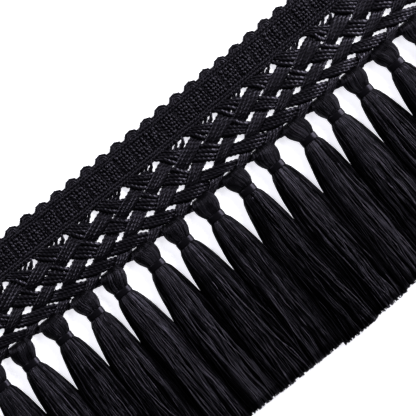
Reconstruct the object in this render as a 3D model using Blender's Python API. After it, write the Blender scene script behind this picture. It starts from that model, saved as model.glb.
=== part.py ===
"""Tassel fringe trim: a cut length of woven heading, plaited lattice and tied tassels.

It lies flat and face up, in a very slight bow. Its length runs along X, its tassels
point to -Y, and its underside is at Z = 0. Sizes are in metres.
"""

import math

import bmesh
import bpy

MM = 0.001

# The cut length
TASSELS = 17
PITCH = 15.4 * MM  # from one tassel to the next, along the upper edge
HALF_LENGTH = TASSELS * PITCH / 2
CLEARANCE = 0.3 * MM  # between pieces that touch
BOW_RADIUS = 3.2  # of the arc that the upper edge lies on, its ends towards +Y
UPPER_EDGE_Y = 59.2 * MM  # where the upper edge is in the middle of the length

# The heading. A drop is measured from the scallops' tops towards the tassels' ends.
SCALLOPS_PER_PITCH = 2
SCALLOP_PHASE = 2.25 * MM  # from a tassel's middle to the next scallop's middle
SCALLOP_HALF_WIDTH = 3.2 * MM
SCALLOP_RISE = 2.0 * MM
SCALLOP_STEPS = 6
HEADING_DROP = 15.5 * MM
HEADING_THICKNESS = 1.8 * MM

# The lattice
LATTICE_TOP = HEADING_DROP + CLEARANCE
LATTICE_THICKNESS = 2.1 * MM
END_MARGIN = 1.0 * MM  # of solid lattice left beside each cut end

# The three-sided gaps under the heading, closed above by it: (along, drop) in mm
EDGE_NOTCH = ((-0.5, None), (-1.8, 18.5), (1.5, 18.1), (0.4, None))
EDGE_NOTCH_PHASE = -5.7 * MM

# The gaps inside the lattice, in mm: where each row's gaps are, their half size,
# and how far their upper and lower corners are moved along
GAP_COLUMNS = ("phase", "drop", "half_width", "half_height", "upper_shift", "lower_shift")
GAP_ROWS = (
    (5.5, 26.3, 2.7, 1.2, 1.6, -1.6),
    (-3.1, 30.3, 3.1, 1.5, 0.2, -0.2),
    (5.0, 34.1, 3.5, 1.7, -0.6, 1.5),
)

# The lattice's foot round one tassel's head, in mm from the tassel's middle: the
# arch between two heads, the head's sides, and the flat gap that its top closes
FOOT_COLUMNS = ("along", "drop", "moves_with_head")
FOOT = (
    (-6.5, 41.3, False),
    (-5.7, 42.2, True),
    (-5.6, 40.9, True),
    (-4.7, 38.0, True),
    (-4.2, 37.8, False),
    (-1.9, 36.5, False),
    (0.5, 37.8, False),
    (4.7, 38.0, True),
    (5.6, 40.9, True),
    (5.6, 41.8, True),
    (6.0, 41.0, False),
    (6.9, 40.3, False),
)

# A tassel's cross-sections, in mm: the yarns lie flat below and are crowned above.
# The lean says how much of the tassel's own shift the section takes, the sole what
# share of its width is flat underneath, and the shoulder at what share of its height
# it is widest.
SECTION_COLUMNS = ("drop", "half_width", "low", "high", "lean", "sole", "shoulder")
SECTIONS = (
    (38.3, 3.5, 0.0, 3.0, 0.5, 0.8, 0.3),
    (39.6, 4.7, 0.0, 4.4, 0.5, 0.8, 0.3),
    (41.6, 5.2, 0.0, 5.4, 0.6, 0.8, 0.35),
    (43.6, 4.8, 0.0, 5.4, 0.75, 0.7, 0.35),
    (45.4, 4.0, 0.4, 4.9, 0.9, 0.6, 0.4),
    (46.9, 2.9, 1.0, 4.0, 1.0, 0.35, 0.5),
    (49.9, 2.9, 1.0, 4.0, 1.0, 0.35, 0.5),
    (51.2, 4.1, 0.3, 4.7, 0.95, 0.6, 0.4),
    (54.6, 5.4, 0.0, 5.0, 0.8, 0.8, 0.3),
    (58.6, 6.4, 0.0, 4.7, 0.5, 0.85, 0.3),
    (63.0, 7.1, 0.0, 4.3, 0.2, 0.9, 0.3),
    (69.0, 7.5, 0.0, 4.0, 0.0, 0.9, 0.3),
    (92.0, 7.5, 0.0, 3.6, 0.0, 0.9, 0.3),
)
# The skirt's last sections, their drops counted from its own end
TIP_SECTIONS = (
    (-1.4, 7.5, 0.0, 3.4, 0.0, 0.9, 0.3),
    (0.0, 6.9, 0.0, 2.8, 0.0, 0.9, 0.3),
)
CROWN_STEPS = 6

# Each tassel, from the left: its own shift along the trim and its end's drop, in mm
TASSEL_COLUMNS = ("shift", "end_drop")
TASSEL_ROWS = (
    (0.3, 119.6),
    (0.2, 119.0),
    (-0.6, 119.8),
    (0.7, 119.3),
    (0.9, 118.7),
    (-0.8, 119.6),
    (0.7, 119.0),
    (-0.2, 119.3),
    (0.1, 119.4),
    (0.9, 120.9),
    (0.2, 120.2),
    (1.5, 119.4),
    (0.2, 119.0),
    (-0.3, 119.7),
    (0.5, 120.1),
    (-0.4, 119.2),
    (0.2, 119.7),
)

# The neck ties
TIE_DROP = 48.4 * MM  # of the tie's middle
TIE_LENGTH = 2.7 * MM
TIE_WALL = 0.45 * MM
TIE_SIDES = 12
NECK_ROW = 5  # the section that the tie is wound on

# Finishes: base colour, roughness
FINISHES = {
    "heading_yarn": ((0.014, 0.013, 0.018, 1.0), 0.55),
    "lattice_yarn": ((0.012, 0.011, 0.016, 1.0), 0.5),
    "rayon_yarn": ((0.008, 0.008, 0.011, 1.0), 0.38),
    "tie_thread": ((0.010, 0.011, 0.015, 1.0), 0.15),
}


def clear_scene():
    """Removes whatever the opened file holds."""
    for thing in list(bpy.data.objects):
        bpy.data.objects.remove(thing, do_unlink=True)


def make_finish(name):
    """Makes one of the named finishes."""
    colour, roughness = FINISHES[name]
    material = bpy.data.materials.new(name)
    material.use_nodes = True
    shader = material.node_tree.nodes["Principled BSDF"]
    shader.inputs["Base Color"].default_value = colour
    shader.inputs["Roughness"].default_value = roughness
    shader.inputs["Metallic"].default_value = 0.0
    return material


def lay(along, drop, height):
    """Places a point of the straight trim on the bowed one."""
    turn = along / BOW_RADIUS
    radius = BOW_RADIUS + drop
    centre_y = UPPER_EDGE_Y + BOW_RADIUS
    return (radius * math.sin(turn), centre_y - radius * math.cos(turn), height)


def rows(columns, table):
    """Reads a table as dictionaries by column name."""
    return [dict(zip(columns, row)) for row in table]


def tassel_middle(number):
    """The place along the trim of a tassel, counted from 0 at the left."""
    return (number - (TASSELS - 1) / 2) * PITCH


def add_object(name, mesh_builder, material):
    """Makes an object of a bmesh, its faces pointing out."""
    bmesh.ops.recalc_face_normals(mesh_builder, faces=mesh_builder.faces)
    mesh = bpy.data.meshes.new(name)
    mesh_builder.to_mesh(mesh)
    mesh_builder.free()
    mesh.materials.append(material)
    piece = bpy.data.objects.new(name, mesh)
    bpy.context.scene.collection.objects.link(piece)
    return piece


def flat_piece(name, outline, holes, thickness, material):
    """Makes a flat piece with holes from loops of (along, drop) points."""
    builder = bmesh.new()
    edges = []
    for loop in [outline, *holes]:
        corners = [builder.verts.new((along, -drop, 0.0)) for along, drop in loop]
        for start, end in zip(corners, corners[1:] + corners[:1]):
            edges.append(builder.edges.new((start, end)))
    bmesh.ops.triangle_fill(builder, use_beauty=True, edges=edges, normal=(0.0, 0.0, 1.0))
    grown = bmesh.ops.extrude_face_region(builder, geom=list(builder.faces))
    for item in grown["geom"]:
        if isinstance(item, bmesh.types.BMVert):
            item.co.z = thickness
    for corner in builder.verts:
        corner.co = lay(corner.co.x, -corner.co.y, corner.co.z)
    return add_object(name, builder, material)


def heading_outline():
    """The heading's outline: scallops above, a straight edge below, cut square."""
    scallop_pitch = PITCH / SCALLOPS_PER_PITCH
    outline = [(-HALF_LENGTH, SCALLOP_RISE)]
    count = math.ceil(2 * HALF_LENGTH / scallop_pitch) + 2
    for number in range(-count, count):
        middle = SCALLOP_PHASE + number * scallop_pitch
        if abs(middle) > HALF_LENGTH - SCALLOP_HALF_WIDTH - CLEARANCE:
            continue
        for step in range(SCALLOP_STEPS + 1):
            turn = math.pi * (1 - step / SCALLOP_STEPS)
            along = middle + SCALLOP_HALF_WIDTH * math.cos(turn)
            outline.append((along, SCALLOP_RISE * (1 - math.sin(turn))))
    outline.append((HALF_LENGTH, SCALLOP_RISE))
    lower_steps = TASSELS * 2
    for step in range(lower_steps + 1):
        outline.append((HALF_LENGTH * (1 - 2 * step / lower_steps), HEADING_DROP))
    return outline


def lattice_outline():
    """The lattice's outer form: notches below the heading, a seat for each head."""
    inside = HALF_LENGTH - END_MARGIN
    upper = [(-HALF_LENGTH, LATTICE_TOP)]
    for number in range(TASSELS + 1):
        middle = tassel_middle(number) + EDGE_NOTCH_PHASE
        notch = [
            (middle + along * MM, LATTICE_TOP if drop is None else drop * MM)
            for along, drop in EDGE_NOTCH
        ]
        if all(abs(along) < inside for along, _ in notch):
            upper.extend(notch)
    upper.append((HALF_LENGTH, LATTICE_TOP))
    lower = []
    shifts = rows(TASSEL_COLUMNS, TASSEL_ROWS)
    head_lean = SECTIONS[0][SECTION_COLUMNS.index("lean")]
    for number in range(TASSELS):
        head_shift = shifts[number]["shift"] * head_lean
        for corner in rows(FOOT_COLUMNS, FOOT):
            shift = head_shift if corner["moves_with_head"] else 0.0
            along = tassel_middle(number) + (corner["along"] + shift) * MM
            lower.append((along, corner["drop"] * MM))
    foot_end = FOOT[-1][FOOT_COLUMNS.index("drop")] * MM
    lower = [(-HALF_LENGTH, foot_end)] + lower + [(HALF_LENGTH, foot_end)]
    return upper + lower[::-1]


def lattice_gaps():
    """The four-sided gaps inside the lattice."""
    gaps = []
    for row in rows(GAP_COLUMNS, GAP_ROWS):
        for number in range(-1, TASSELS + 1):
            middle = tassel_middle(number) + row["phase"] * MM
            if abs(middle) + row["half_width"] * MM > HALF_LENGTH - END_MARGIN:
                continue
            corners = (
                (-row["half_width"], 0.0),
                (row["upper_shift"], -row["half_height"]),
                (row["half_width"], 0.0),
                (row["lower_shift"], row["half_height"]),
            )
            gaps.append([(middle + x * MM, (row["drop"] + y) * MM) for x, y in corners])
    return gaps


def section_loop(section, middle):
    """A section's points as (along, height): an arc above, a flat sole below."""
    half_width = section["half_width"] * MM
    low = section["low"] * MM
    high = section["high"] * MM
    shoulder = low + (high - low) * section["shoulder"]
    loop = []
    for step in range(CROWN_STEPS + 1):
        turn = math.pi * step / CROWN_STEPS
        height = shoulder + (high - shoulder) * math.sin(turn)
        loop.append((middle + half_width * math.cos(turn), height))
    loop.append((middle - half_width * section["sole"], low))
    loop.append((middle + half_width * section["sole"], low))
    return loop


def make_tassel(number, material):
    """Lofts one tassel through its sections, head and skirt in one."""
    own = dict(zip(TASSEL_COLUMNS, TASSEL_ROWS[number]))
    sections = rows(SECTION_COLUMNS, SECTIONS)
    for tip in rows(SECTION_COLUMNS, TIP_SECTIONS):
        sections.append({**tip, "drop": own["end_drop"] + tip["drop"]})
    builder = bmesh.new()
    loops = []
    for section in sections:
        middle = tassel_middle(number) + own["shift"] * section["lean"] * MM
        drop = section["drop"] * MM
        loops.append(
            [
                builder.verts.new(lay(along, drop, height))
                for along, height in section_loop(section, middle)
            ]
        )
    count = len(loops[0])
    for upper, lower in zip(loops, loops[1:]):
        for side in range(count):
            after = (side + 1) % count
            builder.faces.new((upper[side], upper[after], lower[after], lower[side]))
    builder.faces.new(loops[0])
    builder.faces.new(loops[-1][::-1])
    return add_object(f"tassel_{number + 1:02d}", builder, material)


def make_tie(number, material):
    """Winds the binding round one tassel's neck, as a plain oval ring."""
    own = dict(zip(TASSEL_COLUMNS, TASSEL_ROWS[number]))
    neck = dict(zip(SECTION_COLUMNS, SECTIONS[NECK_ROW]))
    middle = tassel_middle(number) + own["shift"] * MM
    centre_height = (neck["low"] + neck["high"]) / 2 * MM
    inner_width = neck["half_width"] * MM + CLEARANCE
    inner_height = (neck["high"] - neck["low"]) / 2 * MM + CLEARANCE
    builder = bmesh.new()
    loops = []
    for wall, end in ((0, -1), (TIE_WALL, -1), (TIE_WALL, 1), (0, 1)):
        loop = []
        for side in range(TIE_SIDES):
            turn = 2 * math.pi * side / TIE_SIDES
            along = middle + (inner_width + wall) * math.cos(turn)
            height = centre_height + (inner_height + wall) * math.sin(turn)
            loop.append(builder.verts.new(lay(along, TIE_DROP + end * TIE_LENGTH / 2, height)))
        loops.append(loop)
    for first, second in zip(loops, loops[1:] + loops[:1]):
        for side in range(TIE_SIDES):
            after = (side + 1) % TIE_SIDES
            builder.faces.new((first[side], first[after], second[after], second[side]))
    return add_object(f"neck_tie_{number + 1:02d}", builder, material)


def main():
    """Builds the trim."""
    clear_scene()
    finishes = {name: make_finish(name) for name in FINISHES}
    flat_piece("heading_band", heading_outline(), [], HEADING_THICKNESS, finishes["heading_yarn"])
    flat_piece(
        "lattice", lattice_outline(), lattice_gaps(), LATTICE_THICKNESS, finishes["lattice_yarn"]
    )
    for number in range(TASSELS):
        make_tassel(number, finishes["rayon_yarn"])
        make_tie(number, finishes["tie_thread"])


main()
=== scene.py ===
"""Looks of a black tassel fringe trim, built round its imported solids.

The trim lies face up in a very slight bow. Every shape is worked out on the straight
trim first, in three numbers: along (from the middle tassel, to the right), drop (from
the scallops' tops towards the tassels' ends) and height (above the surface). The bow
then puts it in the frame. Lengths are in metres.
"""

import logging
import math
from dataclasses import dataclass, field
from enum import Enum

import bpy
import numpy as np
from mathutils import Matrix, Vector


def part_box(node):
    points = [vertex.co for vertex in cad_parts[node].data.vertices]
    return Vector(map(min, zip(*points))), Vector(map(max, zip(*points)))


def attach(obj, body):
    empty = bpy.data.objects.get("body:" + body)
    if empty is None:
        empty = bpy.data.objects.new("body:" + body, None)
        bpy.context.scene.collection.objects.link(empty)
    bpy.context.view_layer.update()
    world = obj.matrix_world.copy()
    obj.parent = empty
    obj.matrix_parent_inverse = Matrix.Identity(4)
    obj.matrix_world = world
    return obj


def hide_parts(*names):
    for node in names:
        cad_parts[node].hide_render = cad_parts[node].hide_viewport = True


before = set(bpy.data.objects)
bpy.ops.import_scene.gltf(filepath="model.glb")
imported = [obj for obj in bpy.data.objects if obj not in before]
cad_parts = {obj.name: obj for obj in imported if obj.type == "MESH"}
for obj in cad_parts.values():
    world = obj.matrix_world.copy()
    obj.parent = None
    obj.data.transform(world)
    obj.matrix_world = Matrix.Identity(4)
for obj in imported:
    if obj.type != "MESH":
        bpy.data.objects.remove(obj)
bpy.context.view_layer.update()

MM = 0.001
BODY = "root"
TONE = "tone"
Floats = np.ndarray

log = logging.getLogger("tassel_trim")


class Hand(Enum):
    """Which way a ribbon of the lattice runs as it goes down."""

    RIGHT = 1
    LEFT = -1


class Ply(Enum):
    """Which way a yarn's plies turn."""

    Z_TWIST = 1
    S_TWIST = -1


# ---------------------------------------------------------------------------
# Shared geometry


def add_object(name: str, data: bpy.types.ID) -> bpy.types.Object:
    """Makes an object for some data and puts it in the scene."""
    made = bpy.data.objects.new(name, data)
    bpy.context.scene.collection.objects.link(made)
    return made


def hermite(at: Floats, places: Floats, values: Floats) -> Floats:
    """Reads a smooth curve through a table's rows.

    Between two rows the curve is a cubic with the rows' values at its ends and, as its
    slopes there, the slopes of the neighbouring rows' chords.

    Args:
        at: Where to read the curve, any shape.
        places: The rows' places, rising.
        values: The rows' values.

    Returns:
        The curve's values, shaped like at.
    """
    slopes = np.gradient(values, places)
    row = np.clip(np.searchsorted(places, at) - 1, 0, len(places) - 2)
    span = places[row + 1] - places[row]
    t = np.clip((at - places[row]) / span, 0.0, 1.0)
    return (
        values[row] * (1 + 2 * t) * (1 - t) ** 2
        + values[row + 1] * t**2 * (3 - 2 * t)
        + slopes[row] * span * t * (1 - t) ** 2
        - slopes[row + 1] * span * t**2 * (1 - t)
    )


def smoothstep(at: Floats, start: float, end: float) -> Floats:
    """Rises from 0 at start to 1 at end as 3t squared less 2t cubed."""
    t = np.clip((at - start) / (end - start), 0.0, 1.0)
    return t * t * (3 - 2 * t)


@dataclass(frozen=True)
class Bow:
    """The slight bow that the trim lies in: an arc about a centre far up +Y."""

    radius: float
    upper_edge_y: float

    @property
    def centre_y(self) -> float:
        """The arc's centre, on the line X = 0."""
        return self.upper_edge_y + self.radius

    def lay(self, along: Floats | float, drop: Floats | float, height: Floats | float) -> Floats:
        """Puts places of the straight trim on the bow.

        The turn about the centre is along over the radius, and the distance from the
        centre is the radius plus the drop.

        Args:
            along: Places along the trim.
            drop: Places across it.
            height: Heights above the surface.

        Returns:
            Points with X, Y and Z on the last axis.
        """
        turn = along / self.radius
        reach = self.radius + drop
        x = reach * np.sin(turn)
        y = self.centre_y - reach * np.cos(turn)
        return np.stack(np.broadcast_arrays(x, y, height), axis=-1)

    def straighten(self, points: Floats) -> tuple[Floats, Floats]:
        """Gives the along and drop of points in the frame, the reverse of lay."""
        x, y = points[..., 0], self.centre_y - points[..., 1]
        return self.radius * np.arctan2(x, y), np.hypot(x, y) - self.radius


@dataclass
class TubeMesh:
    """Gathers closed tubes, such as yarns and strands, into one mesh."""

    name: str
    points: list[Floats] = field(default_factory=list)
    loops: list[Floats] = field(default_factory=list)
    sizes: list[Floats] = field(default_factory=list)
    uvs: list[Floats] = field(default_factory=list)
    tones: list[Floats] = field(default_factory=list)
    count: int = 0

    def add(
        self,
        paths: Floats,
        section: Floats,
        across: Floats | float = 1.0,
        upright: Floats | float = 1.0,
        twist: Floats | float = 0.0,
        tones: Floats | float = 0.5,
        shading: Floats | float = 1.0,
        reference: tuple[float, float, float] = (0.0, 0.0, 1.0),
    ) -> None:
        """Carries a section along each of several paths and closes both ends.

        At each path point the ring is path + side * r cos(angle) * across + normal *
        r sin(angle) * upright, where normal is the reference less its part along the
        path, side is normal x tangent, and the angle turns by the twist.

        Args:
            paths: Tubes by points by three.
            section: The section's radius at equal angles.
            across: Scale along the side, tubes by points or one value.
            upright: Scale along the normal, likewise.
            twist: How far the section has turned, likewise.
            tones: Shade numbers, likewise.
            shading: What the tone is multiplied by at each place of the section, used as painted
                shade in the grooves between plies and painted light on their crests.
            reference: The direction that the section's top faces.
        """
        tubes, rings, _ = paths.shape
        sides = len(section)
        tangent = np.gradient(paths, axis=1)
        tangent /= np.linalg.norm(tangent, axis=2, keepdims=True)
        up = np.asarray(reference, float)
        normal = up - (tangent @ up)[..., None] * tangent
        normal /= np.linalg.norm(normal, axis=2, keepdims=True)
        side = np.cross(normal, tangent)
        grid = (tubes, rings)
        wide, tall, turned = (
            np.broadcast_to(value, grid)[..., None] for value in (across, upright, twist)
        )
        angle = 2 * np.pi * np.arange(sides) / sides + turned
        out = (section * np.cos(angle) * wide)[..., None] * side[:, :, None, :]
        rise = (section * np.sin(angle) * tall)[..., None] * normal[:, :, None, :]
        ring_points = paths[:, :, None, :] + out + rise

        index = np.arange(tubes * rings * sides).reshape(tubes, rings, sides) + self.count
        after = np.roll(index, -1, axis=2)
        walls = np.stack(
            (index[:, :-1], after[:, :-1], after[:, 1:], index[:, 1:]), axis=-1
        ).reshape(-1, 4)
        caps = np.concatenate((index[:, 0, ::-1], index[:, -1]), axis=0)

        length = np.zeros(grid)
        steps = np.linalg.norm(np.diff(paths, axis=1), axis=2)
        length[:, 1:] = np.cumsum(steps, axis=1)
        near = np.arange(sides) / sides
        far = (np.arange(sides) + 1) / sides
        u = np.broadcast_to(length[:, :, None], (*grid, sides))
        wall_uv = np.empty((tubes, rings - 1, sides, 4, 2))
        wall_uv[..., 0, 0] = wall_uv[..., 1, 0] = u[:, :-1]
        wall_uv[..., 2, 0] = wall_uv[..., 3, 0] = u[:, 1:]
        wall_uv[..., 0, 1] = wall_uv[..., 3, 1] = near
        wall_uv[..., 1, 1] = wall_uv[..., 2, 1] = far
        cap_uv = np.zeros((caps.size, 2))
        cap_uv[:, 1] = 0.5

        self.points.append(ring_points.reshape(-1, 3))
        self.loops += [walls.ravel(), caps.ravel()]
        self.sizes += [np.full(len(walls), 4), np.full(len(caps), sides)]
        self.uvs += [wall_uv.reshape(-1, 2), cap_uv]
        # The section's multipliers paint shade into the grooves between plies and light onto their
        # crests.
        shade = np.broadcast_to(tones, grid)[..., None] * np.broadcast_to(shading, sides)
        self.tones.append(shade.ravel())
        self.count += tubes * rings * sides

    def add_skin(self, grid: Floats, tone: float, closed: bool = False) -> None:
        """Adds a skin through rings of points.

        Args:
            grid: Rings by points round each by three, so that faces turn outward.
            tone: The skin's shade number.
            closed: Whether the last ring joins the first. If not, both ends are capped.
        """
        rings, sides = grid.shape[:2]
        index = np.arange(rings * sides).reshape(rings, sides) + self.count
        below = np.roll(index, -1, axis=0) if closed else index[1:]
        here = index if closed else index[:-1]
        walls = np.stack(
            (here, np.roll(here, -1, axis=1), np.roll(below, -1, axis=1), below), axis=-1
        ).reshape(-1, 4)
        steps = np.linalg.norm(np.diff(grid, axis=0, prepend=grid[:1]), axis=2).cumsum(axis=0)
        around = np.broadcast_to(np.arange(sides) / sides, (rings, sides))
        uv = np.stack((steps, around), axis=-1).reshape(-1, 2)
        self.points.append(grid.reshape(-1, 3))
        self.loops.append(walls.ravel())
        self.sizes.append(np.full(len(walls), 4))
        self.uvs.append(uv[walls.ravel() - self.count])
        if not closed:
            caps = np.concatenate((index[0, ::-1], index[-1]))
            self.loops.append(caps)
            self.sizes.append(np.full(2, sides))
            self.uvs.append(uv[caps - self.count])
        self.tones.append(np.full(rings * sides, tone))
        self.count += rings * sides

    def build(self) -> bpy.types.Object:
        """Makes the object, its faces smooth and outward, with UVs and a tone."""
        loops = np.concatenate(self.loops).astype(np.int32)
        sizes = np.concatenate(self.sizes).astype(np.int32)
        starts = np.concatenate(([0], np.cumsum(sizes)[:-1])).astype(np.int32)
        mesh = bpy.data.meshes.new(self.name)
        mesh.vertices.add(self.count)
        mesh.vertices.foreach_set("co", np.concatenate(self.points).astype(np.float32).ravel())
        mesh.loops.add(len(loops))
        mesh.loops.foreach_set("vertex_index", loops)
        mesh.polygons.add(len(sizes))
        mesh.polygons.foreach_set("loop_start", starts)
        mesh.update(calc_edges=True)
        uv = mesh.uv_layers.new(name="along_around")
        uv.data.foreach_set("uv", np.concatenate(self.uvs).astype(np.float32).ravel())
        tone = mesh.attributes.new(TONE, "FLOAT", "POINT")
        tone.data.foreach_set("value", np.concatenate(self.tones).astype(np.float32))
        mesh.shade_smooth()
        mesh.validate()
        return add_object(self.name, mesh)


def round_section(sides: int) -> Floats:
    """A plain round section of radius 1."""
    return np.ones(sides)


def ply_section(plies: int, groove: float) -> Floats:
    """Plies side by side: 1 at each ply's crest, and less by the groove between two."""
    return 1 - groove * np.tile((0.0, 1.0), plies)


# ---------------------------------------------------------------------------
# Finishes


@dataclass(frozen=True)
class YarnFinish:
    """A yarn's finish: fine fibres along it, and shades from strand to strand."""

    name: str
    slot: str
    dark: float
    light: float
    roughness: float
    dull: float
    glossy: float
    fibre_length: float
    fibres_around: float
    bump_height: float
    tint: tuple[float, float, float] = (0.79, 0.73, 1.0)

    def make(self) -> bpy.types.Material:
        """Makes the material.

        Noise stretched along the yarn's own UV gives the fibres. Times the tone
        attribute, it takes the base colour from dark to light and the specular level
        from dull to glossy. The noise also bumps the surface.

        Returns:
            The new material.
        """
        material = bpy.data.materials.new(self.name)
        material.use_nodes = True
        nodes, links = material.node_tree.nodes, material.node_tree.links
        shader = nodes["Principled BSDF"]
        shader.inputs["Roughness"].default_value = self.roughness
        shader.inputs["Specular Tint"].default_value = (*self.tint, 1.0)

        place = nodes.new("ShaderNodeTexCoord")
        stretch = nodes.new("ShaderNodeMapping")
        stretch.inputs["Scale"].default_value = (1 / self.fibre_length, self.fibres_around, 1.0)
        fibres = nodes.new("ShaderNodeTexNoise")
        fibres.inputs["Scale"].default_value = 1.0
        fibres.inputs["Detail"].default_value = 2.0
        links.new(place.outputs["UV"], stretch.inputs["Vector"])
        links.new(stretch.outputs["Vector"], fibres.inputs["Vector"])

        tone = nodes.new("ShaderNodeAttribute")
        tone.attribute_name = TONE
        both = nodes.new("ShaderNodeMath")
        both.operation = "MULTIPLY"
        links.new(tone.outputs["Fac"], both.inputs[0])
        links.new(fibres.outputs["Fac"], both.inputs[1])
        shades = nodes.new("ShaderNodeMix")
        shades.data_type = "RGBA"
        shades.inputs[6].default_value = (*(self.dark * share for share in self.tint), 1.0)
        shades.inputs[7].default_value = (*(self.light * share for share in self.tint), 1.0)
        gloss = nodes.new("ShaderNodeMapRange")
        gloss.inputs["To Min"].default_value = self.dull
        gloss.inputs["To Max"].default_value = self.glossy
        for scale in (shades.inputs[0], gloss.inputs["Value"]):
            links.new(both.outputs["Value"], scale)
        gloss.inputs["From Max"].default_value = 0.6
        links.new(shades.outputs[2], shader.inputs["Base Color"])
        links.new(gloss.outputs["Result"], shader.inputs["Specular IOR Level"])

        bump = nodes.new("ShaderNodeBump")
        bump.inputs["Strength"].default_value = 0.6
        bump.inputs["Distance"].default_value = self.bump_height
        links.new(fibres.outputs["Fac"], bump.inputs["Height"])
        links.new(bump.outputs["Normal"], shader.inputs["Normal"])
        return material

    def dress(self, piece: bpy.types.Object) -> None:
        """Puts the finish on a piece."""
        made = bpy.data.materials.get(self.name) or self.make()
        piece.data.materials.clear()
        piece.data.materials.append(made)


HEADING_YARN = YarnFinish(
    "heading_yarn", "heading", dark=0.0036, light=0.014, roughness=0.42, dull=0.1, glossy=0.42,
    fibre_length=0.8 * MM, fibres_around=9.0, bump_height=0.05 * MM,
)
LATTICE_YARN = YarnFinish(
    "lattice_yarn", "lattice", dark=0.0012, light=0.0105, roughness=0.36, dull=0.04, glossy=0.56,
    fibre_length=0.9 * MM, fibres_around=10.0, bump_height=0.06 * MM,
)
RAYON = YarnFinish(
    "satin_rayon", "tassel", dark=0.0004, light=0.0075, roughness=0.34, dull=0.01, glossy=0.95,
    fibre_length=4.0 * MM, fibres_around=3.0, bump_height=0.03 * MM,
)
TIE_THREAD = YarnFinish(
    "tie_thread", "tie", dark=0.004, light=0.007, roughness=0.21, dull=0.17, glossy=0.21,
    fibre_length=2.0 * MM, fibres_around=3.0, bump_height=0.003 * MM,
)


# ---------------------------------------------------------------------------
# The lattice


@dataclass(frozen=True)
class RibbonCourse:
    """The course that the ribbons of one hand keep, and how far each strays from it.

    A row holds, in mm, a drop and ribbon 0's middle and half width there. The next
    ribbon is a pitch further. The slack is how much narrower its yarns are where they
    leave the heading. Between the first and last rows both edges stray at random.
    """

    rows: tuple[tuple[float, float, float], ...]
    slack: float
    seed: int
    stray: float = 0.75
    most_stray: float = 1.5

    def edges(self, ribbon: int | None, drop: Floats) -> tuple[Floats, Floats]:
        """Reads where a ribbon's two edges are at some drops, without the pitch.

        Args:
            ribbon: The ribbon's number, or None for the course that none strays from.
            drop: Where to read them.

        Returns:
            The left edge and the right edge.
        """
        places, middle, half_width = np.array(self.rows).T
        strays = np.zeros((2, len(places)))
        if ribbon is not None:
            rng = np.random.default_rng((self.seed, ribbon + 50))
            drawn = rng.normal(0, self.stray, (2, len(places) - 2))
            strays[:, 1:-1] = drawn.clip(-self.most_stray, self.most_stray)
        left = hermite(drop / MM, places, middle - half_width + strays[0]) * MM
        right = hermite(drop / MM, places, middle + half_width + strays[1]) * MM
        return left, right

    def middle(self, drop: Floats) -> Floats:
        """Reads where ribbon 0's middle would be if it didn't stray."""
        left, right = self.edges(None, drop)
        return (left + right) / 2


COURSES = {
    Hand.RIGHT: RibbonCourse(
        rows=(
            (14.6, -2.5, 3.5),
            (17.5, 1.0, 4.5),
            (22.0, 7.0, 6.5),
            (26.0, 13.0, 5.5),
            (30.5, 19.5, 5.0),
            (34.5, 28.0, 6.5),
            (37.5, 35.0, 6.0),
            (42.4, 48.5, 3.0),
        ),
        slack=0.12,
        seed=21,
    ),
    Hand.LEFT: RibbonCourse(
        rows=(
            (14.6, 22.0, 3.5),
            (17.5, 17.0, 6.5),
            (22.0, 7.5, 7.5),
            (26.0, -2.0, 6.5),
            (30.5, -11.5, 5.5),
            (34.5, -19.0, 4.0),
            (37.5, -22.5, 4.0),
            (42.4, -32.0, 3.0),
        ),
        slack=0.4,
        seed=22,
    ),
}


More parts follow.
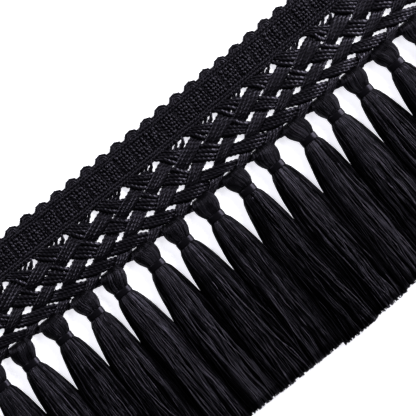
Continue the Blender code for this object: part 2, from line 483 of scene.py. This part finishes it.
@dataclass
class Lattice:
    """The plaited net: flat four-yarn ribbons that run both ways, over and under."""

    bow: Bow
    pitch: float
    half_length: float
    seed: int = 11
    yarns: int = 4
    yarn_radius: float = 0.54 * MM
    fill: float = 0.88
    snugness: float = 0.84
    plies: int = 3
    groove: float = 0.2
    # How far the ply grooves' tone is cut, as painted shade, against painted light on the crests.
    painted_groove_shade: float = 0.97
    yarn_phase: float = 0.098
    turn_length: float = 5.4 * MM
    rings_per_turn: int = 14
    mid_height: float = 1.12 * MM
    wave_height: float = 0.52 * MM
    wave_steepness: float = 1.5
    samples: int = 420
    least_samples: int = 14
    slack_drops: tuple[float, float] = (15.8 * MM, 17.8 * MM)
    width_limits: tuple[float, float] = (0.5 * MM, 1.2 * MM)
    wander: float = 0.16 * MM
    wander_length: float = 10 * MM
    ripple: float = 0.07 * MM
    ripple_length: float = 7 * MM

    def height(self, hand: Hand, ribbon: int, along: Floats, drop: Floats) -> Floats:
        """How high a ribbon is: a steepened cosine of the crossings that it has passed.

        Counted along the other hand's ribbons, the crossings of a right-running ribbon
        are over at the odd ones and under at the even ones, and the reverse for the
        others. The cosine is steepened by a hyperbolic tangent.

        Args:
            hand: Which way the ribbon runs.
            ribbon: The ribbon's number.
            along: Places along the trim.
            drop: Places across it.

        Returns:
            Heights.
        """
        other = Hand.LEFT if hand is Hand.RIGHT else Hand.RIGHT
        passed = (along - COURSES[other].middle(drop)) / self.pitch - ribbon
        wave = -hand.value * np.cos(np.pi * passed)
        steep = np.tanh(self.wave_steepness * wave) / math.tanh(self.wave_steepness)
        return self.mid_height + self.wave_height * steep

    def evenly(self, path: Floats, values: Floats) -> tuple[Floats, Floats]:
        """Reads a path again at even steps, so that the plies turn evenly."""
        laid = self.bow.lay(path[:, 0], path[:, 1], path[:, 2])
        length = np.concatenate(([0], np.cumsum(np.linalg.norm(np.diff(laid, axis=0), axis=1))))
        rings = max(3, round(length[-1] / self.turn_length * self.rings_per_turn))
        at = np.linspace(0, length[-1], rings)
        even = np.stack([np.interp(at, length, laid[:, axis]) for axis in range(3)], axis=-1)
        return even, np.interp(at, length, values)

    def add_ribbon(
        self, halves: dict[str, TubeMesh], rng: np.random.Generator, hand: Hand, ribbon: int
    ) -> None:
        """Adds one ribbon's yarns, spread evenly between its edges.

        A yarn is as wide as its share of the ribbon, within limits. One slow sine makes
        it wander a little across, and another ripples it up and down. Each yarn's twist
        is a little ahead of the last one's, so that the plies line up across the ribbon.
        Painted shade darkens the grooves between its plies and painted light lightens their crests.

        Args:
            halves: The meshes for the trim's two halves.
            rng: The source of unevenness.
            hand: Which way the ribbon runs.
            ribbon: The ribbon's number.
        """
        course = COURSES[hand]
        drop = np.linspace(course.rows[0][0], course.rows[-1][0], self.samples) * MM
        left, right = course.edges(ribbon, drop)
        slack = 1 - course.slack * (1 - smoothstep(drop, *self.slack_drops))
        phase = rng.uniform()
        for yarn in range(self.yarns):
            luck = rng.uniform(0.0, 1.0, 6)
            share = yarn / (self.yarns - 1)
            run = np.gradient(left + share * (right - left), drop)
            slant = 1 / np.sqrt(1 + run**2)
            width = self.fill * (right - left) * slant / self.yarns
            across = np.clip(width, *self.width_limits) * slack
            inset = across * self.snugness / slant
            along = left + inset + share * (right - left - 2 * inset) + ribbon * self.pitch
            wander = luck[0] * np.sin(2 * np.pi * (drop / self.wander_length + luck[1]))
            along = along + self.wander * wander / slant
            height = self.height(hand, ribbon, along, drop)
            ripple = np.sin(2 * np.pi * (drop / self.ripple_length + luck[2]))
            height = height + self.ripple * ripple
            inside = np.abs(along) < self.half_length
            if inside.sum() < self.least_samples:
                continue
            path = np.stack((along, drop, height), axis=-1)[inside]
            even, wide = self.evenly(path, across[inside])
            turns = np.arange(len(even)) / self.rings_per_turn
            turns = turns + phase + self.yarn_phase * yarn + 0.04 * luck[3]
            side = "west" if path[:, 0].mean() < 0 else "east"
            halves[side].add(
                even[None],
                ply_section(self.plies, self.groove),
                across=wide[None],
                upright=self.yarn_radius,
                twist=2 * np.pi * turns[None] * Ply.Z_TWIST.value,
                tones=0.8 + 0.7 * luck[4],
                # Painted shade in the plies' grooves, painted light on their crests.
                shading=ply_section(self.plies, self.painted_groove_shade),
            )

    def build(self) -> list[bpy.types.Object]:
        """Makes the ribbons, one piece for each way and half of the length.

        Returns:
            The pieces.
        """
        rng = np.random.default_rng(self.seed)
        reach = math.ceil(self.half_length / self.pitch) + 4
        pieces = []
        for hand in Hand:
            halves = {
                side: TubeMesh(f"lattice_{hand.name.lower()}_{side}") for side in ("west", "east")
            }
            for ribbon in range(-reach, reach + 1):
                self.add_ribbon(halves, rng, hand, ribbon)
            pieces += [mesh.build() for mesh in halves.values()]
        return pieces

    def dress(self, pieces: list[bpy.types.Object]) -> None:
        """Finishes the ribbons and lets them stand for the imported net."""
        for piece in pieces:
            LATTICE_YARN.dress(piece)
            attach(piece, BODY)
            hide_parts("lattice")


# ---------------------------------------------------------------------------
# The heading


@dataclass(frozen=True)
class BeadColumn:
    """A beaded weft column: where it is from a scallop's middle, and its beads' size."""

    shift: float
    half_width: float
    swell: float
    tone: float


@dataclass(frozen=True)
class Loop:
    """One of the nested yarn loops of a scallop."""

    half_width: float
    rise: float
    height: float


@dataclass
class Heading:
    """The woven heading: ground cloth, beaded weft, warp cords and the scallops."""

    bow: Bow
    pitch: float
    half_length: float
    drop: float
    seed: int = 5
    scallop_phase: float = 2.25 * MM
    selvage_drop: float = 1.45 * MM
    foot_drop: float = 2.65 * MM
    bead_drops: tuple[float, ...] = (5.25 * MM, 6.85 * MM, 8.4 * MM, 9.85 * MM, 11.35 * MM)
    cord_drops: tuple[float, ...] = (2.6 * MM, 3.8 * MM, 12.85 * MM, 14.15 * MM)
    columns: tuple[BeadColumn, ...] = (
        BeadColumn(-2.72 * MM, 0.66 * MM, 0.32, 1.15),
        BeadColumn(-1.4 * MM, 0.66 * MM, 0.22, 0.5),
        BeadColumn(-0.15 * MM, 0.72 * MM, 0.28, 1.0),
        BeadColumn(1.2 * MM, 0.70 * MM, 0.25, 0.75),
        BeadColumn(2.4 * MM, 0.6 * MM, 0.2, 0.7),
    )
    float_shifts: tuple[float, ...] = (3.2 * MM, 3.65 * MM, 4.1 * MM)
    loops: tuple[Loop, ...] = (
        Loop(3.05 * MM, 2.8 * MM, 0.9 * MM),
        Loop(2.1 * MM, 1.95 * MM, 1.15 * MM),
        Loop(1.15 * MM, 1.1 * MM, 1.25 * MM),
    )
    end_margin: float = 3.4 * MM
    ground_height: float = 0.6 * MM
    pad_height: float = 0.75 * MM
    edge_height: float = 0.85 * MM
    float_height: float = 0.97 * MM
    bead_height: float = 1.12 * MM
    cord_height: float = 1.22 * MM
    cord_turn_length: float = 4.6 * MM
    cord_tones: tuple[float, ...] = (1.1, 1.5, 1.9, 1.6)

    @property
    def scallop_middles(self) -> Floats:
        """The scallops' middles along the trim."""
        spacing = self.pitch / 2
        reach = math.ceil(self.half_length / spacing)
        middles = self.scallop_phase + spacing * np.arange(-reach, reach + 1)
        return middles[np.abs(middles) < self.half_length - self.end_margin]

    def build_ground(self) -> bpy.types.Object:
        """Makes the ground cloth: a thin closed sheet under the yarns.

        Returns:
            The sheet.
        """
        mesh = TubeMesh("heading_ground")
        along = np.linspace(-self.half_length, self.half_length, 200)
        middle = (self.selvage_drop + self.drop) / 2
        path = self.bow.lay(along, middle, self.ground_height)
        half_width = (self.drop - self.selvage_drop) / 2
        mesh.add(path[None], round_section(8), across=half_width, upright=0.56 * MM, tones=0.7)
        return mesh.build()

    def uneven(self, rng: np.random.Generator, drop: Floats, spread: float) -> Floats:
        """Gives each scallop's column its own number at each bead, blended between them."""
        beads = np.array(self.bead_drops)
        weights = np.stack([np.interp(drop, beads, row) for row in np.eye(len(beads))])
        return rng.normal(0, spread, (len(self.scallop_middles), len(beads))) @ weights

    def build_weft(self) -> bpy.types.Object:
        """Makes the weft: beaded columns under each scallop, flat floats between.

        A beaded column's radius is a mean plus a cosine of the drop, with a crest at
        each bead and a waist where a warp end binds it. Every bead strays a little
        from its place and size. The floats are close, low and dark, with a fine ripple;
        their tone follows the ripple, as painted light on its crests and painted shade in its dips.

        Returns:
            The columns, joined.
        """
        rng = np.random.default_rng(self.seed)
        mesh = TubeMesh("heading_weft")
        middles = self.scallop_middles
        pitch = self.bead_drops[1] - self.bead_drops[0]
        first, last = self.bead_drops[0] - 0.62 * pitch, self.bead_drops[-1] + 0.62 * pitch
        drop = np.linspace(first, last, 34)
        beads = np.array(self.bead_drops)
        passed = np.interp(drop, beads, np.arange(len(beads)))
        passed += (np.minimum(drop - beads[0], 0) + np.maximum(drop - beads[-1], 0)) / pitch
        crest = np.cos(2 * np.pi * passed)
        for column in self.columns:
            sway = self.uneven(rng, drop, 0.17 * MM)
            along = (middles + column.shift)[:, None] + sway
            slip = self.uneven(rng, drop, 0.12 * MM)
            height = self.bead_height + 0.22 * MM * crest + self.uneven(rng, drop, 0.10 * MM)
            paths = self.bow.lay(along, drop[None] + slip, height)
            swell = column.swell * crest + self.uneven(rng, drop, 0.14)
            size = np.clip(0.84 + swell, 0.45, 1.35)
            mesh.add(
                paths,
                ply_section(4, 0.24),
                across=size * column.half_width,
                upright=size * 0.76 * MM,
                twist=rng.uniform(0, 3, len(middles))[:, None] + 2.2 * drop[None] / MM,
                tones=column.tone * rng.uniform(0.9, 1.8, (len(middles), 1)),
                # Painted shade in the grooves between the bead's plies, painted light on their
                # crests.
                shading=ply_section(4, 0.6),
            )
        plain = np.linspace(first, last, 17)
        for shift in self.float_shifts:
            along = (middles + shift + rng.normal(0, 0.07 * MM, len(middles)))[:, None]
            lean = (0.05 * (plain - plain.mean()))[None]
            wave = np.sin(plain[None] / (0.24 * MM) + rng.uniform(0, 6, along.shape))
            height = self.float_height + 0.08 * MM * wave
            paths = self.bow.lay(along + lean, plain[None], height)
            mesh.add(
                paths,
                round_section(6),
                across=0.46 * MM,
                upright=0.36 * MM,
                # The tone rises and falls with the ripple's height: painted light on its crests,
                # painted shade in its dips.
                tones=rng.uniform(0.02, 0.25, (len(middles), 1)) * (0.6 + 0.8 * wave).clip(0.05),
            )
        return mesh.build()

    def build_cords(self) -> bpy.types.Object:
        """Makes the warp cords, two above the beads and two below, and the selvage end.

        A cord's three plies each have a crest once a turn, where the cosine of one and a
        half times the turn, squared, is 1. The cord is taller there, and painted lighter
        as painted light on the crest; its grooves get painted shade.

        Returns:
            The cords, joined.
        """
        mesh = TubeMesh("heading_cords")
        rings = round(2 * self.half_length / (0.3 * MM))
        along = np.linspace(-self.half_length, self.half_length, rings)
        for number, cord_drop in enumerate(self.cord_drops):
            drop = cord_drop + 0.08 * MM * np.sin(along / (3.1 * MM) + number)
            height = self.cord_height + 0.1 * MM * np.cos(along / (1.9 * MM) + 2 * number)
            turn = Ply.S_TWIST.value * 2 * np.pi * along / self.cord_turn_length + number
            crest = np.cos(1.5 * turn[None]) ** 2
            mesh.add(
                self.bow.lay(along, drop, height)[None],
                ply_section(3, 0.42),
                across=0.84 * MM,
                upright=0.66 * MM * (0.74 + 0.4 * crest),
                twist=turn[None],
                # Painted light on each ply's crest and painted shade between them, on top of the
                # cord's own tone.
                tones=self.cord_tones[number] * (0.15 + 1.7 * crest),
                shading=ply_section(3, 0.97),
            )
        plain = along[::3]
        path = self.bow.lay(plain, self.selvage_drop + 0.2 * MM, self.edge_height)
        mesh.add(path[None], round_section(6), across=0.45 * MM, upright=0.5 * MM, tones=0.3)
        return mesh.build()

    def build_scallops(self) -> bpy.types.Object:
        """Makes the scallops: a filled half-round with yarn loops one inside the other.

        Each loop is half of an ellipse whose feet run down under the warp cords.

        Returns:
            The loops, joined.
        """
        rng = np.random.default_rng(self.seed + 1)
        mesh = TubeMesh("heading_scallops")
        middles = self.scallop_middles
        share = np.linspace(-0.4, 1.0, 9)
        pad_drop = self.foot_drop - self.loops[0].rise * share
        pad = self.bow.lay(middles[:, None], pad_drop[None], self.pad_height)
        pad_width = self.loops[0].half_width * np.sqrt(np.clip(1.02 - share.clip(0) ** 2, 0, 1))
        mesh.add(pad, round_section(8), across=pad_width, upright=0.5 * MM, tones=0.15)
        turn = np.linspace(-0.3, math.pi + 0.3, 23)
        for loop in self.loops:
            reach = loop.half_width * (1 + rng.normal(0, 0.03, (len(middles), 1)))
            lift = loop.rise * (1 + rng.normal(0, 0.05, (len(middles), 1)))
            along = middles[:, None] - reach * np.cos(turn)
            drop = self.foot_drop - lift * np.sin(turn)
            mesh.add(
                self.bow.lay(along, drop, loop.height),
                ply_section(2, 0.3),
                across=0.55 * MM,
                upright=0.6 * MM,
                twist=np.arange(len(turn)) * 0.8,
                tones=rng.uniform(0.9, 2.0, (len(middles), 1)),
                # Painted shade in the groove between the two plies, painted light on their crests.
                shading=ply_section(2, 0.7),
            )
        return mesh.build()

    def dress(self, pieces: dict[str, bpy.types.Object]) -> None:
        """Finishes the heading and lets it stand for the imported band."""
        for piece in pieces.values():
            HEADING_YARN.dress(piece)
            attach(piece, BODY)
            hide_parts("heading_band")


# ---------------------------------------------------------------------------
# Tassels and ties


@dataclass(frozen=True)
class TasselForm:
    """The outline that a tassel's strands fill, as a table of sections in mm."""

    columns: tuple[str, ...] = ("drop", "half_width", "low", "high", "lean", "flat")
    rows: tuple[tuple[float, ...], ...] = (
        (37.8, 3.7, 0.9, 1.4, 0.5, 0.2),
        (38.0, 4.0, 0.4, 2.3, 0.3, 0.2),
        (38.6, 4.4, 0.1, 3.5, 0.3, 0.1),
        (39.6, 4.8, 0.0, 4.6, 0.3, 0.0),
        (41.4, 5.3, 0.0, 5.3, 0.35, 0.0),
        (43.4, 5.15, 0.0, 5.4, 0.6, 0.0),
        (45.4, 4.42, 0.35, 4.9, 0.9, 0.0),
        (46.9, 3.56, 0.75, 4.3, 1.0, 0.0),
        (49.6, 3.56, 0.75, 4.3, 1.0, 0.0),
        (51.2, 4.48, 0.3, 4.9, 0.95, 0.1),
        (54.6, 5.5, 0.0, 5.3, 0.8, 0.3),
        (58.6, 6.35, 0.0, 5.2, 0.6, 0.45),
        (63.0, 7.05, 0.0, 5.1, 0.35, 0.55),
        (68.0, 7.72, 0.0, 5.0, 0.1, 0.6),
        (92.0, 8.05, 0.0, 4.8, 0.0, 0.6),
        (121.0, 8.2, 0.0, 4.2, 0.0, 0.6),
    )
    shoulder: float = 0.35

    def read(self, column: str, drop: Floats) -> Floats:
        """Reads one column at some drops, in metres apart from the shares."""
        table = np.array(self.rows)
        place = self.columns.index(column)
        value = hermite(drop / MM, table[:, 0], table[:, place])
        return value if column in ("lean", "flat") else value * MM

    def place(self, turn: Floats, drop: Floats, inset: Floats | float) -> tuple[Floats, Floats]:
        """Finds places on the outline, seen along the tassel.

        A turn of 0 is the top and a quarter turn the right side. Where the section is
        round the place is its sine and cosine. Where it is flat the strands are spread
        evenly across, under a curve of a slightly higher power.

        Args:
            turn: Turns about the tassel's length, strands by rings.
            drop: Drops, strands by rings.
            inset: How far inside the outline the places are.

        Returns:
            Places across, from the tassel's own line, and heights.
        """
        flat = self.read("flat", drop)
        low = self.read("low", drop) + inset
        high = self.read("high", drop) - inset
        half_width = self.read("half_width", drop) - inset
        turn = np.arctan2(np.sin(turn), np.cos(turn))
        even = np.where(np.abs(turn) < np.pi / 2, turn, np.sign(turn) * np.pi - turn) / (np.pi / 2)
        share = (1 - flat) * np.sin(turn) + flat * even
        power = 2 - 0.15 * flat
        rise = (1 - np.minimum(np.abs(share), 1.0) ** power) ** (1 / power)
        middle = low + (high - low) * self.shoulder
        up = np.cos(turn) >= 0
        height = np.where(up, middle + rise * (high - middle), middle - rise * (middle - low))
        return share * half_width, height


@dataclass(frozen=True)
class StrandLayer:
    """One layer of a tassel's strands: how many, between which turns, how thick, and how much its
    tone is cut as painted shade.
    """

    count: int
    first_turn: float
    last_turn: float
    inset: float
    radius: float
    looseness: float = 1.0
    # How much darker the layer is painted, as painted shade inside and under the bundle; below zero
    # it is painted lighter.
    painted_shade: float = 0.0
    stray: float = 0.5 * MM


@dataclass
class Tassel:
    """One tassel: strands that fold over the lattice's foot and hang past the tie."""

    bow: Bow
    number: int
    middle: float
    shift: float
    end_drop: float
    form: TasselForm = TasselForm()
    layers: tuple[StrandLayer, ...] = (
        StrandLayer(70, -1.72, 1.72, 0.0, 0.2 * MM),
        StrandLayer(26, -1.6, 1.6, 0.4 * MM, 0.3 * MM, 0.7, 0.5),
        StrandLayer(14, 1.8, 4.48, 0.0, 0.36 * MM, 0.6, 0.5),
        StrandLayer(18, -1.4, 1.4, -0.1 * MM, 0.14 * MM, 1.6, -0.5, 3.5 * MM),
    )
    locks: int = 15
    top_drop: float = 37.8 * MM
    neck_drop: float = 50.0 * MM
    spiral_fade: tuple[float, float] = (38 * MM, 46 * MM)
    calm_fade: tuple[float, float] = (43 * MM, 49 * MM)
    parting: tuple[float, float] = (54 * MM, 90 * MM)
    sway_start: float = 58 * MM
    stray_start: float = 60 * MM
    loose_end: float = 72 * MM
    full_room: float = 11.8 * MM
    core_start: float = 38.4 * MM
    core_inset: float = 0.5 * MM

    @property
    def name(self) -> str:
        """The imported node's name."""
        return f"tassel_{self.number:02d}"

    def rings(self) -> Floats:
        """The drops of a strand's rings, closest in the head and by the neck."""
        head = np.linspace(0, 1, 11, endpoint=False) ** 1.25
        brush = np.linspace(0, 1, 17) ** 1.3
        return np.concatenate(
            (
                head * (self.neck_drop - self.top_drop) + self.top_drop,
                brush * (self.end_drop - self.neck_drop) + self.neck_drop,
            )
        )

    def add_strands(self, mesh: TubeMesh, rng: np.random.Generator, layer: StrandLayer) -> None:
        """Adds one layer of strands, gathered in locks that part below the tie.

        A lock is the strands whose turns lie in one of equal steps about the tassel. Its
        strands draw in towards the lock's middle, which is also higher than its edges,
        and it sways as a whole by two slow sines. Each strand adds two smaller and
        quicker sines. All of this grows from the tie to the cut end. The shades of the
        locks and strands differ less in the head. Below the head, the strands at the sides
        are painted darker, as painted shade in the valleys between tassels, and each
        layer's tone is cut by its share of painted shade.

        Args:
            mesh: The mesh to add to.
            rng: The source of unevenness.
            layer: The layer.
        """
        count = layer.count
        turns = np.linspace(layer.first_turn, layer.last_turn, count)
        turns += rng.normal(0, 0.02, count)
        drop = np.broadcast_to(self.rings(), (count, len(self.rings()))).copy()
        end = rng.normal(-0.05, 0.14, count).clip(-0.5, 0.3) * MM
        drop += smoothstep(drop, self.stray_start, self.end_drop) * end[:, None]

        place = (turns + np.pi) / (2 * np.pi) * self.locks * 2 + self.number * 0.37
        lock = np.floor(place).astype(int) - int(place.min())
        within = 2 * (place - np.floor(place)) - 1
        lock_luck = rng.uniform(-1, 1, (lock.max() + 1, 6))[lock]
        own_luck = rng.uniform(-1, 1, (count, 5))
        fan = (drop - self.neck_drop) / MM
        loose = smoothstep(drop, self.neck_drop, self.loose_end) * layer.looseness
        parted = smoothstep(drop, *self.parting)

        slow = np.sin(fan / 17 + 3 * lock_luck[:, :1])
        sway = 1.4 * slow * smoothstep(drop, self.sway_start, self.end_drop)
        sway += 0.22 * np.sin(fan / 7.5 + 3 * lock_luck[:, 1:2])
        sway += 0.20 * np.sin(fan / 8.5 + 3 * own_luck[:, :1])
        sway += 0.09 * np.sin(fan / 3.1 + 3 * own_luck[:, 1:2])
        draw = -0.22 * within[:, None] * parted * (0.6 + 0.4 * lock_luck[:, 2:3])
        lift = 0.38 * lock_luck[:, 3:4] * parted + 0.10 * np.sin(fan / 9 + 3 * own_luck[:, 2:3])
        dome = -0.30 * within[:, None] ** 2 * (0.35 + 0.65 * parted)

        spiral = 0.3 * np.sin(self.number * 2.4) * (1 - smoothstep(drop, *self.spiral_fade))
        turn = turns[:, None] + spiral + 0.04 * np.sin(3 * own_luck[:, 3:4] + drop / (2.2 * MM))
        across, height = self.form.place(turn, drop, layer.inset + layer.radius)
        limit = self.form.read("half_width", drop) - layer.radius
        across += (loose * sway + draw) * MM
        across += layer.stray * own_luck[:, 4:5] * smoothstep(drop, self.stray_start, self.end_drop)
        across = np.clip(across, -limit, limit)
        height = np.maximum(height + (loose * lift + dome) * MM, layer.radius)
        along = self.middle + self.shift * self.form.read("lean", drop) + across
        paths = self.bow.lay(along, drop, height)
        room = self.form.read("half_width", drop) + self.form.read("high", drop)
        crowd = np.clip(room / self.full_room, 0.5, 1.0)
        taper = np.ones(drop.shape[1])
        taper[-1] = 0.8
        lock_tone = (0.5 + 0.5 * lock_luck[:, 4]) ** 3
        own_tone = rng.uniform(0, 1, count) ** 4
        # The layer's share of painted shade: inner and underside layers are painted darker for the
        # shade inside the bundle.
        shade = 1 - layer.painted_shade
        calm = 1 - smoothstep(drop, *self.calm_fade)
        # Painted shade: the strands at the tassel's sides are darker, standing in for the shade in
        # the valleys between tassels.
        side = smoothstep(np.abs(np.sin(turns)), 0.55, 0.95)[:, None] * (1 - calm)
        tone = (0.01 + 0.62 * lock_tone + 1.4 * own_tone)[:, None] * (1 - 0.8 * side)
        tone = shade * tone * (1 + 0.4 * np.sin(fan / 9 + 6 * own_luck[:, 2:3]))
        tone = tone * (1 - 0.68 * calm) + 0.1 * shade * calm
        mesh.add(
            paths,
            round_section(4),
            across=layer.radius * crowd * taper,
            upright=layer.radius * crowd * taper,
            tones=tone,
            reference=(1.0, 0.0, 0.0),
        )

    def add_core(self, mesh: TubeMesh) -> None:
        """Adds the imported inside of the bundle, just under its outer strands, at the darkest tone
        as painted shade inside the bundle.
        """
        drop = np.linspace(self.core_start, self.end_drop - 0.7 * MM, 32)
        turn = np.linspace(-np.pi, np.pi, 20, endpoint=False)
        grid = (len(turn), len(drop))
        across, height = self.form.place(
            np.broadcast_to(turn[:, None], grid), np.broadcast_to(drop, grid), self.core_inset
        )
        line = self.middle + self.shift * self.form.read("lean", drop)
        points = self.bow.lay(line + across, drop[None], np.maximum(height, 0.1 * MM))
        # Tone 0 paints the core darkest, as painted shade seen through the gaps between locks.
        mesh.add_skin(points.transpose(1, 0, 2), 0.0)

    def build(self) -> bpy.types.Object:
        """Makes the tassel, head and skirt in one piece.

        Returns:
            The tassel.
        """
        rng = np.random.default_rng(100 + self.number)
        mesh = TubeMesh(f"strands_{self.number:02d}")
        self.add_core(mesh)
        for layer in self.layers:
            self.add_strands(mesh, rng, layer)
        return mesh.build()

    def dress(self, piece: bpy.types.Object) -> None:
        """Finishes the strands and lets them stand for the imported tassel."""
        RAYON.dress(piece)
        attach(piece, BODY)
        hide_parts(self.name)


@dataclass
class NeckTie:
    """The smooth binding round a tassel's neck: close turns of fine glossy thread."""

    bow: Bow
    number: int
    along: float
    drop: float
    length: float = 2.8 * MM
    turns: int = 6
    half_width: float = 3.8 * MM
    half_height: float = 2.2 * MM
    centre_height: float = 2.5 * MM
    wall: float = 0.5 * MM
    ridge: float = 0.03 * MM

    def build(self) -> bpy.types.Object:
        """Makes the binding as an oval sleeve with a shallow ridge for each turn.

        The sleeve's radius grows by a ridge times the cosine of the turns passed along
        it, and its ends are rounded in to the neck.

        Returns:
            The tie.
        """
        rings, sides = self.turns * 4 + 1, 28
        t = np.linspace(0, 1, rings)
        turn = 2 * np.pi * np.arange(sides) / sides
        edge = np.sqrt(np.clip(1 - np.abs(2 * t - 1) ** 6, 0, 1))
        outer = -0.25 * MM + 0.25 * MM * edge - self.ridge * np.cos(2 * np.pi * self.turns * t)
        outer_drop = self.drop + (t - 0.5) * self.length
        out = np.concatenate((outer, np.full(2, -self.wall)))[:, None]
        drops = np.concatenate((outer_drop, outer_drop[[-1, 0]]))[:, None]
        along = self.along + (self.half_width + out) * np.sin(turn)
        height = self.centre_height + (self.half_height + out) * np.cos(turn)
        mesh = TubeMesh(f"tie_{self.number:02d}")
        mesh.add_skin(self.bow.lay(along, drops, height), 0.5, closed=True)
        return mesh.build()

    def dress(self, piece: bpy.types.Object) -> None:
        """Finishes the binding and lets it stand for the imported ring."""
        TIE_THREAD.dress(piece)
        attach(piece, BODY)
        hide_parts(f"neck_tie_{self.number:02d}")


# ---------------------------------------------------------------------------
# Studio


@dataclass(frozen=True)
class Panel:
    """A square soft light that faces the trim.

    The azimuth is its direction round the trim, in degrees from +X towards +Y. The
    elevation above the table is in degrees too, and the power is in watts.
    """

    name: str
    azimuth: float
    elevation: float
    distance: float
    size: float
    power: float

    def build(self) -> None:
        """Makes the light."""
        data = bpy.data.lights.new(self.name, "AREA")
        data.size = self.size
        data.energy = self.power
        lamp = add_object(self.name, data)
        around, above = math.radians(self.azimuth), math.radians(self.elevation)
        lamp.location = (
            self.distance * math.cos(above) * math.cos(around),
            self.distance * math.cos(above) * math.sin(around),
            self.distance * math.sin(above),
        )
        lamp.rotation_euler = (math.pi / 2 - above, 0.0, around + math.pi / 2)


@dataclass
class Studio:
    """The white table, the camera straight above it and the lights."""

    view_width: float = 166.4 * MM
    camera_height: float = 0.46
    camera_turn: float = -39.44
    aim_along: float = -0.1 * MM
    aim_drop: float = 43.6 * MM
    aim_height: float = 2 * MM
    sensor_width: float = 36.0
    floor_size: float = 6.0
    floor_gap: float = 0.05 * MM
    world_strength: float = 0.03
    panels: tuple[Panel, ...] = (
        Panel("key_panel", 18.0, 24.0, 1.5, 1.0, 40.0),
        Panel("foot_panel", -24.0, 24.0, 1.5, 0.9, 13.0),
        Panel("top_panel", 115.0, 28.0, 1.6, 0.6, 12.0),
    )

    def build_floor(self) -> None:
        """Makes the table that the trim lies on."""
        half = self.floor_size / 2
        mesh = bpy.data.meshes.new("floor")
        corners = ((-half, -half), (half, -half), (half, half), (-half, half))
        mesh.from_pydata([(x, y, -self.floor_gap) for x, y in corners], [], [(0, 1, 2, 3)])
        floor = add_object("floor", mesh)
        material = bpy.data.materials.new("white_table")
        material.use_nodes = True
        shader = material.node_tree.nodes["Principled BSDF"]
        shader.inputs["Base Color"].default_value = (0.9, 0.9, 0.92, 1.0)
        shader.inputs["Roughness"].default_value = 0.9
        shader.inputs["Specular IOR Level"].default_value = 0.1
        shader.inputs["Emission Color"].default_value = (0.93, 0.93, 1.0, 1.0)
        shader.inputs["Emission Strength"].default_value = 0.8
        mesh.materials.append(material)

    def build_camera(self, bow: Bow) -> None:
        """Puts a long lens straight above the trim, turned so that it runs up and right."""
        data = bpy.data.cameras.new("camera")
        data.sensor_width = self.sensor_width
        data.lens = self.sensor_width * self.camera_height / self.view_width
        data.clip_end = 20.0
        camera = add_object("camera", data)
        x, y, z = bow.lay(self.aim_along, self.aim_drop, self.aim_height)
        camera.location = (x, y, z + self.camera_height)
        camera.rotation_euler = (0.0, 0.0, math.radians(self.camera_turn))
        bpy.context.scene.camera = camera

    def build(self, bow: Bow) -> None:
        """Makes the floor, camera, lights and world."""
        self.build_floor()
        self.build_camera(bow)
        for panel in self.panels:
            panel.build()
        world = bpy.data.worlds.new("studio")
        world.use_nodes = True
        back = world.node_tree.nodes["Background"]
        back.inputs["Color"].default_value = (1.0, 1.0, 1.0, 1.0)
        back.inputs["Strength"].default_value = self.world_strength
        bpy.context.scene.world = world
        bpy.context.scene.view_settings.view_transform = "Standard"


# ---------------------------------------------------------------------------
# The whole trim


@dataclass
class Trim:
    """The whole trim: its driving sizes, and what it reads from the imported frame."""

    pitch: float = 15.4 * MM
    bow_radius: float = 3.2
    heading_drop: float = 15.5 * MM

    def __post_init__(self) -> None:
        """Reads the tassels and the upper edge from the frame."""
        names = [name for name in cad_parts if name.startswith("tassel_")]
        self.tassels = len(names)
        self.half_length = self.tassels * self.pitch / 2
        low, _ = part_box("heading_band")
        self.bow = Bow(self.bow_radius, low.y + self.heading_drop)

    def node_places(self, name: str) -> tuple[Floats, Floats]:
        """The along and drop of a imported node's corners."""
        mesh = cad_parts[name].data
        corners = np.empty(3 * len(mesh.vertices))
        mesh.vertices.foreach_get("co", corners)
        return self.bow.straighten(corners.reshape(-1, 3))

    def build_tassels(self) -> None:
        """Makes every tassel and its tie where the frame has them."""
        for number in range(1, self.tassels + 1):
            middle = (number - (self.tassels + 1) / 2) * self.pitch
            tie_along, tie_drop = self.node_places(f"neck_tie_{number:02d}")
            _, drop = self.node_places(f"tassel_{number:02d}")
            place = float(tie_along.mean())
            tassel = Tassel(self.bow, number, middle, place - middle, float(drop.max()))
            tassel.dress(tassel.build())
            tie = NeckTie(self.bow, number, place, float(tie_drop.mean()))
            tie.dress(tie.build())
            log.info("tassel %02d: shifted %.1f mm", number, (place - middle) / MM)

    def build(self) -> None:
        """Makes the heading, the lattice and the tassels, in that order."""
        heading = Heading(self.bow, self.pitch, self.half_length, self.heading_drop)
        heading.dress(
            {
                "ground": heading.build_ground(),
                "weft": heading.build_weft(),
                "cords": heading.build_cords(),
                "scallops": heading.build_scallops(),
            }
        )
        log.info("heading: %d scallops", len(heading.scallop_middles))
        lattice = Lattice(self.bow, self.pitch, self.half_length)
        pieces = lattice.build()
        lattice.dress(pieces)
        log.info("lattice: %d pieces", len(pieces))
        self.build_tassels()


def main() -> None:
    """Builds the studio and the trim, and reports each piece."""
    logging.basicConfig(level=logging.INFO, format="%(name)s: %(message)s")
    trim = Trim()
    Studio().build(trim.bow)
    trim.build()


if __name__ == "__main__":
    main()
